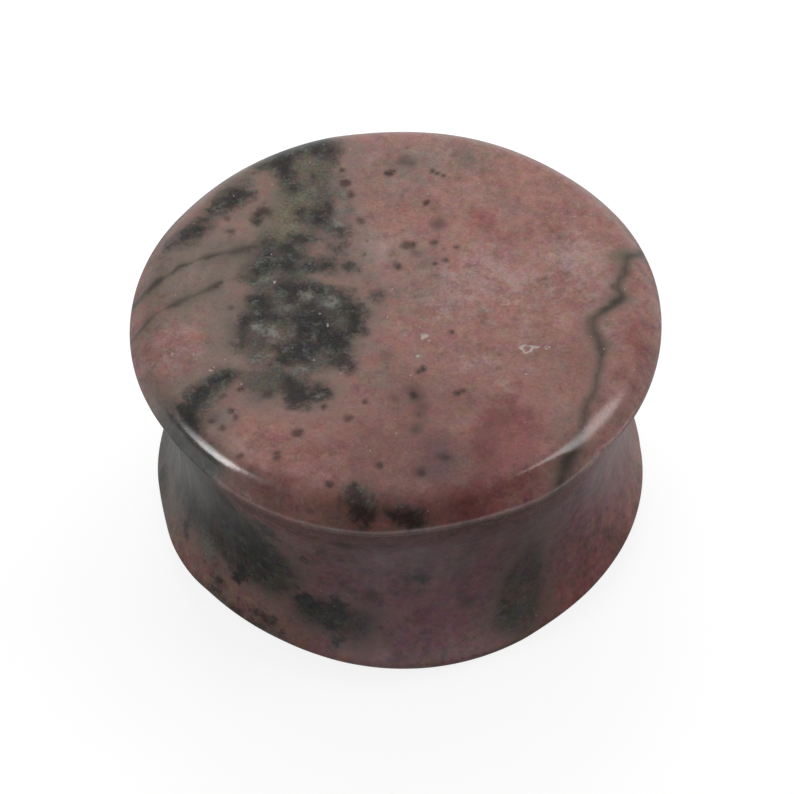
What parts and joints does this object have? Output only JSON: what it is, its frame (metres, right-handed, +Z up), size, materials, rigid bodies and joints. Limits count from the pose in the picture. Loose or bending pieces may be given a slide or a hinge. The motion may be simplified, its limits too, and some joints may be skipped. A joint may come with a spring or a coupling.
{
  "type": "double flared ear plug gauge",
  "caption": "Double flared stone ear plug: a solid round plug with a hollowed waist for the lobe and two wider, bevelled and polished flares with flat faces.",
  "frame": {"origin": "middle of the lower face, on the plug's axis", "axes": "+Z up along the plug's axis, from the lower face to the upper one"},
  "size_m": [0.028, 0.028, 0.015],
  "materials": {
    "polished_stone": "polished"
  },
  "bodies": {
    "root": {"stone_plug": "polished_stone"}
  },
  "joints": []
}
